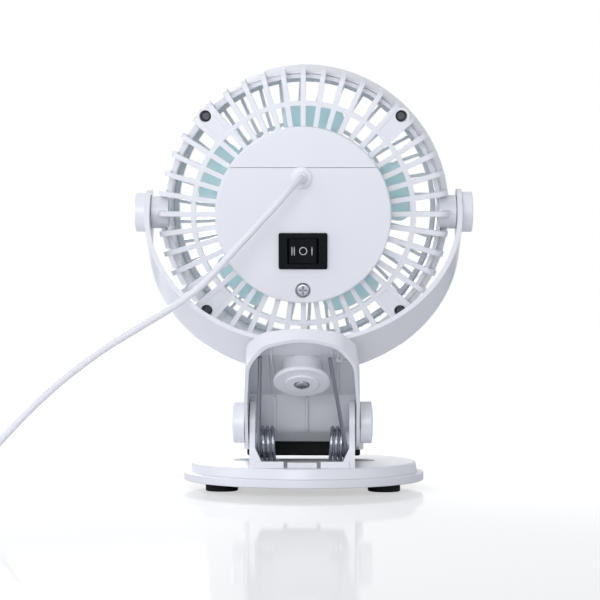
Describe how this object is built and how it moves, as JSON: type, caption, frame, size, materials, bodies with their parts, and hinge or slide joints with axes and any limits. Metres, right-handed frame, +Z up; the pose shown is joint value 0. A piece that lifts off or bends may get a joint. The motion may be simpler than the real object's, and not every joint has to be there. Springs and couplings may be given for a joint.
{
  "type": "clip-on desk fan",
  "caption": "Small desk fan with a round caged head tilting in a swivelling yoke on a sprung clamp with a round weighted-look foot, rear rocker switch and thin power lead.",
  "frame": {"origin": "on the desk under the middle of the round base, in the plane of its feet", "axes": "+Z up; +Y the way the air blows, so the switch and the squeeze handle face -Y; +X to the right when looking along +Y"},
  "size_m": [0.2587, 0.1339, 0.1854],
  "materials": {
    "white_plastic": "satin moulded plastic, slightly cool white",
    "blade_plastic": "pale cyan moulded plastic, a little translucent",
    "switch_plastic": "black moulded plastic",
    "rubber": "black soft rubber",
    "grip_rubber": "grey soft rubber",
    "spring_steel": "bright drawn wire",
    "screw_steel": "zinc plated",
    "black_screw": "black plated",
    "motor_steel": "rolled can",
    "board": "solder mask",
    "components": "moulded cases",
    "brass": "stamped contacts",
    "inner_wire": "thin insulated leads",
    "lead": "soft white cable jacket",
    "plug_plastic": "moulded white plug",
    "plug_steel": "nickel plated shell",
    "plug_tongue": "contact carrier"
  },
  "bodies": {
    "base": {"base_shell": "white_plastic", "base_cover": "white_plastic", "foot_pads": "rubber", "base_screws": "screw_steel", "lower_grip_pad": "grip_rubber", "hinge_pin_left": "white_plastic", "hinge_pin_right": "white_plastic", "spring_left": "spring_steel", "spring_right": "spring_steel", "cord_coil": "lead", "usb_plug_body": "plug_plastic", "usb_plug_shell": "plug_steel", "usb_plug_tongue": "plug_tongue"},
    "lever": {"clamp_arm": "white_plastic", "jaw_pad": "rubber"},
    "yoke": {"yoke": "white_plastic", "swivel_retainer": "white_plastic", "swivel_screw": "screw_steel"},
    "head": {"rear_grille": "white_plastic", "hub_cover": "white_plastic", "cord_grommet": "white_plastic", "hub_cover_screw": "screw_steel", "switch_housing": "switch_plastic", "switch_terminals": "brass", "front_housing": "white_plastic", "front_grille": "white_plastic", "housing_screws": "black_screw", "tilt_knob_left": "white_plastic", "tilt_knob_right": "white_plastic", "motor_body": "motor_steel", "motor_end_cap": "components", "motor_screws": "screw_steel", "control_board": "board", "board_components": "components", "inner_leads": "inner_wire", "cord_free": "lead"},
    "impeller": {"impeller": "blade_plastic", "motor_shaft": "screw_steel"},
    "rocker": {"rocker_button": "switch_plastic"}
  },
  "joints": [
    {"name": "clamp_hinge", "type": "hinge", "parent": "base", "child": "lever", "pos_m": [0, -0.033, 0.0297], "axis": [1, 0, 0], "range_deg": [0, 28], "stiffness_Nm_per_rad": 0.35, "springref_deg": -34.38, "deforming": ["spring_left", "spring_right", "cord_free"]},
    {"name": "yoke_swivel", "type": "hinge", "parent": "lever", "child": "yoke", "pos_m": [0, -0.04916, 0.05612], "axis": [0, 0.5, 0.866], "range_deg": [-180, 180], "deforming": ["cord_free"]},
    {"name": "head_tilt", "type": "hinge", "parent": "yoke", "child": "head", "pos_m": [0, -0.01246, 0.11968], "axis": [1, 0, 0], "range_deg": [-60, 75], "deforming": ["cord_free"]},
    {"name": "impeller_spin", "type": "hinge", "parent": "head", "child": "impeller", "pos_m": [0, -0.01246, 0.11968], "axis": [0, 0.9895, 0.1444], "continuous": true},
    {"name": "rocker_rock", "type": "hinge", "parent": "head", "child": "rocker", "pos_m": [0, -0.03107, 0.10181], "axis": [0, -0.1444, 0.9895], "range_deg": [-10, 10]}
  ]
}
